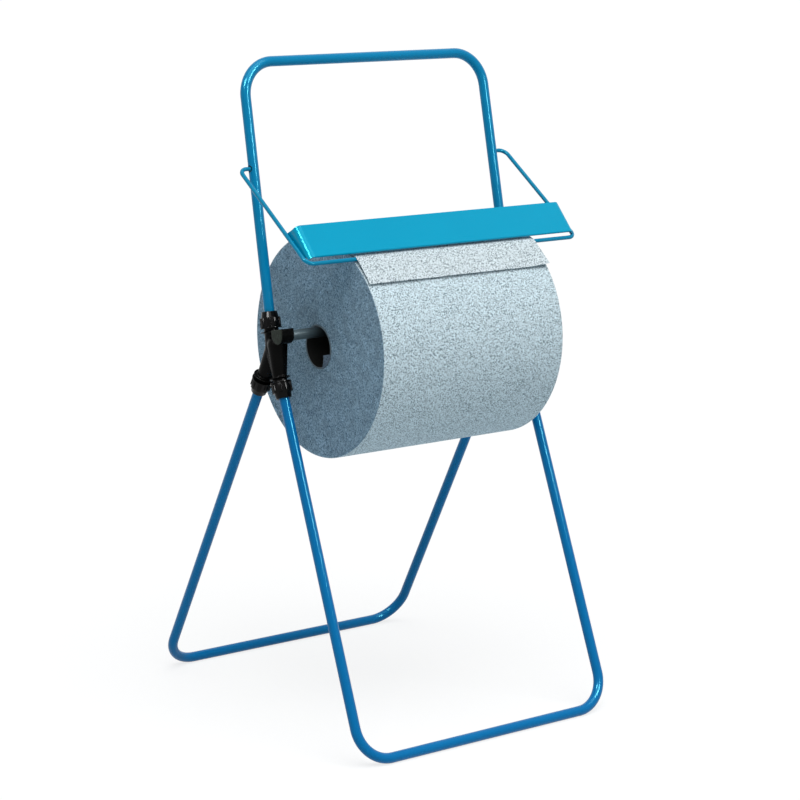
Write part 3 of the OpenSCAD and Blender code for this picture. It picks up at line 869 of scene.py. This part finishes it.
# %% End of the winding
look = finish(
    "winding_end", paper_group,
    {"Ground": (0.275, 0.400, 0.500, 1), "Speck": (0.046, 0.092, 0.140, 1),
     "Cover": 0.52, "Fibre": 1.40, "Mottle": 0.40},
    bump=0.3, depth=0.0003, Roughness=0.95, Specular_IOR_Level=0.08)
roll_end, tree, vector = look.material, look.tree, look.vector
gap_blue = (0.15, 0.24, 0.32, 1)
coarse = add_node(tree, "ShaderNodeMapping", Scale=(0.85, 0.85, 0.85))
feed(tree, coarse.inputs["Vector"], vector)
ragged = add_node(tree, "ShaderNodeTexNoise", Scale=620, Detail=2)
feed(tree, ragged.inputs["Vector"], coarse.outputs[0])
pull = add_node(tree, "ShaderNodeVectorMath", operation="MULTIPLY_ADD")
feed(tree, pull.inputs[0], ragged.outputs["Color"])
feed(tree, pull.inputs[1], (0.005, 0.005, 0.005))
feed(tree, pull.inputs[2], coarse.outputs[0])
feed(tree, look.skin.inputs["Vector"], pull.outputs[0])
layers = add_node(tree, "ShaderNodeTexNoise", noise_dimensions="1D", Scale=900, Detail=3)
feed(tree, layers.inputs["W"], from_axis(tree, vector, roll_mid))
ring_share = mapped(tree, layers.outputs["Fac"], 0.45, 0.7, 0.0, 0.22)
ringed = blended(tree, ring_share, look.skin.outputs["Colour"], gap_blue)
feed(tree, look.shader["Base Color"], ringed)
feed(tree, look.height, maths(tree, "ADD", look.skin.outputs["Height"], layers.outputs["Fac"]))
print("paper end:", roll_end.name)

# %% [markdown]
# The axle is plain drawn steel tube. Fine lines run along it, so its noise is stretched in
# that direction, and it is dull rather than bright. Under the roll, and a little beyond, it
# is painted dark: painted shade of the core's bore.

# %% Axle steel
look = finish("drawn_axle_steel", bump=0.08, depth=0.0001, Metallic=0.30, Specular_IOR_Level=0.30)
axle_steel, tree, vector = look.material, look.tree, look.vector
steel_dark, steel_light = (0.072, 0.104, 0.116, 1), (0.118, 0.160, 0.172, 1)
steel_stain, steel_bore_shade = (0.050, 0.074, 0.082, 1), (0.004, 0.007, 0.009, 1)
bore_shade_from, bore_shade_to = roll_half + 0.003, roll_half + 0.027
drawn = add_node(tree, "ShaderNodeMapping", Scale=(6, 220, 220))
feed(tree, drawn.inputs["Vector"], vector)
lines = grain(tree, drawn.outputs[0], 4, 5.0, 0.65)
lit_lines = mapped(tree, lines, 0.3, 0.7, 0.0, 1.0)
stain = mapped(tree, grain(tree, vector, 28, 3.0), 0.45, 0.75, 0.0, 0.5)
# Painted shade: the axle is darkened inside the core's bore and just beyond it.
bore_shade = mapped(tree, from_middle(tree, vector), bore_shade_from, bore_shade_to, 0.9, 0.0)
metal = blended(tree, lit_lines, steel_dark, steel_light)
metal = blended(tree, stain, metal, steel_stain)
metal = blended(tree, bore_shade, metal, steel_bore_shade)
feed(tree, look.shader["Base Color"], metal)
feed(tree, look.shader["Roughness"], mapped(tree, lines, 0.3, 0.7, 0.34, 0.44))
feed(tree, look.height, lines)
print("axle:", axle_steel.name)

# %% [markdown]
# The core is grey paperboard. Its colour is painted near black as painted shade inside the
# bore, and paler at the cut ends. The torn ply shows the board's pale inside, so it has a
# finish of its own. Board and paper are both made of fibres, so the board uses the paper's
# group with quiet values.

# %% Core board
# Painted shade: the board's near-black ground stands for the shade inside the bore.
look = finish(
    "core_board_painted_shade", paper_group,
    {"Ground": (0.013, 0.013, 0.012, 1), "Speck": (0.008, 0.008, 0.008, 1),
     "Cover": 0.4, "Fibre": 0.30},
    bump=0.3, depth=0.0002, Roughness=0.9, Specular_IOR_Level=0.05)
board, tree = look.material, look.tree
cut_grey = (0.150, 0.190, 0.215, 1)
cut_from, cut_to = roll_half - 0.0006, roll_half - 0.0002
cut_end = mapped(tree, from_middle(tree, look.vector), cut_from, cut_to, 0.0, 1.0)
paler = blended(tree, cut_end, look.skin.outputs["Colour"], cut_grey)
feed(tree, look.shader["Base Color"], paler)
torn_board = finish(
    "torn_board", paper_group,
    {"Ground": (0.17, 0.21, 0.26, 1), "Speck": (0.07, 0.10, 0.13, 1),
     "Cover": 0.45, "Fibre": 0.90},
    bump=0.3, depth=0.0002, Roughness=0.92, Specular_IOR_Level=0.05).material
print("board:", board.name, torn_board.name)

# %% [markdown]
# The grip rings inside the nuts are pale nylon. Nylon is milky: a little light goes in and
# comes out again, so the shader gets some subsurface, and a noise mixes two close tones.

# %% Nylon of the grip rings
look = finish("pale_nylon", bump=0.1, depth=0.0001, Roughness=0.45, Subsurface_Weight=0.15)
nylon, tree, vector = look.material, look.tree, look.vector
nylon_warm, nylon_pale = (0.66, 0.64, 0.58, 1), (0.72, 0.70, 0.64, 1)
milky = blended(tree, grain(tree, vector, 120, 3.0), nylon_warm, nylon_pale)
feed(tree, look.shader["Base Color"], milky)
feed(tree, look.height, grain(tree, vector, 1600, 1.0))
print("nylon:", nylon.name)

# %% [markdown]
# ## Dressing the pieces
# New meshes take their material directly, and the roll takes two: faces that look sideways
# are its ends. A CAD node keeps its mesh, and only what its material slot holds is changed.

# %% Materials on the new pieces
end_slope = 0.72
paper.data.materials.append(roll_face)
paper.data.materials.append(roll_end)
for face in paper.data.polygons:
    face.material_index = 1 if abs(face.normal.x) > end_slope else 0
sheet.data.materials.append(sheet_face)
ply.data.materials.append(torn_board)
for piece in nuts:
    piece.data.materials.append(nut_black)
for piece in mouldings:
    piece.data.materials.clear()
    piece.data.materials.append(connector_black)
print("dressed:", len(nuts) + len(mouldings) + 3, "new pieces")

# %% Materials on the CAD pieces
dress = {
    "handle_frame": handle_coat, "front_leg_frame": leg_coat, "rear_leg_frame": leg_coat,
    "cutter_bail": wire_coat, "cutter_blade": blade_coat, "axle": axle_steel,
    "roll_core": board, "paper_roll": roll_face, "paper_sheet": roll_face,
}
dress_by_ending = {
    "_grip_ring": nylon, "_pivot_bush": nut_black, "_nut": nut_black, "_connector": nut_black,
}
for name, node in nodes.items():
    material = dress.get(name)
    for ending, shared in dress_by_ending.items():
        if name.endswith(ending):
            material = shared
    for slot in node.material_slots:
        slot.material = material
print("dressed:", len(nodes), "CAD nodes")
